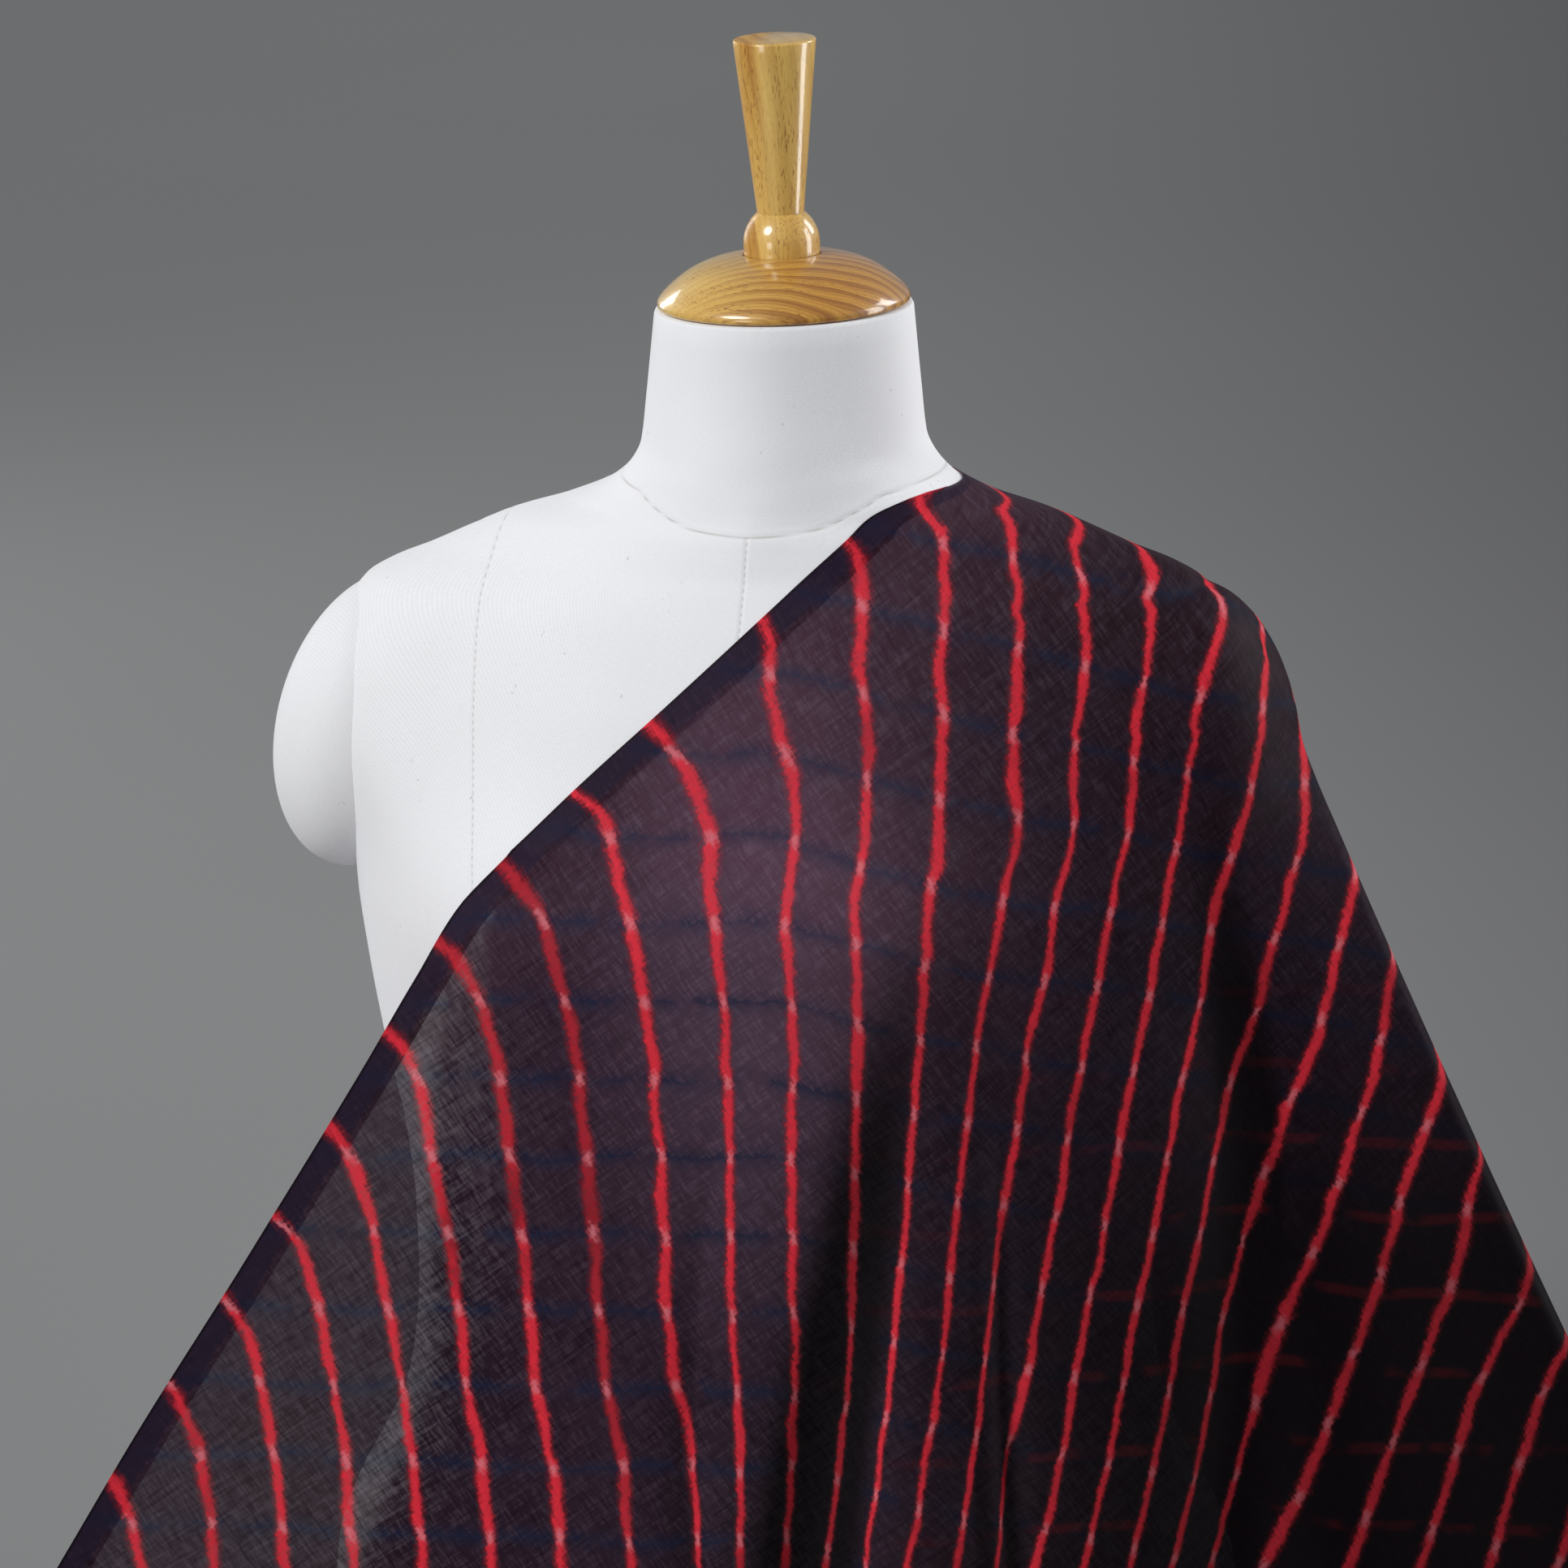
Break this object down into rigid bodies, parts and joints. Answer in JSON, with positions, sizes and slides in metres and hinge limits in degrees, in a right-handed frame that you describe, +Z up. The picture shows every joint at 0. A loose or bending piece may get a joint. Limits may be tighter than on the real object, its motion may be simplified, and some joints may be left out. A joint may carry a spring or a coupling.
{
  "type": "leheriya tie-dye fabric on a dress form",
  "caption": "Sheer leheriya tie-dye cloth draped over one shoulder of a canvas dress form, its free selvedge crossing the front and folds falling to the hem.",
  "frame": {"origin": "middle of the dress form's flat underside, which rests on the surface", "axes": "+Z up; the dress form faces -Y, and the cloth lies over the shoulder on the +X side"},
  "size_m": [0.7811, 0.3447, 0.7667],
  "materials": {
    "cloth": "sheer plain weave, tie-dyed with slanting red stripes crossed by fine navy lines and pink dots",
    "canvas": "white cotton canvas with stitched seams",
    "wood": "turned and varnished"
  },
  "bodies": {
    "root": {"cloth": "cloth", "torso": "canvas", "arm_cap_left": "canvas", "arm_cap_right": "canvas", "neck_cap": "wood", "finial": "wood"}
  },
  "joints": []
}
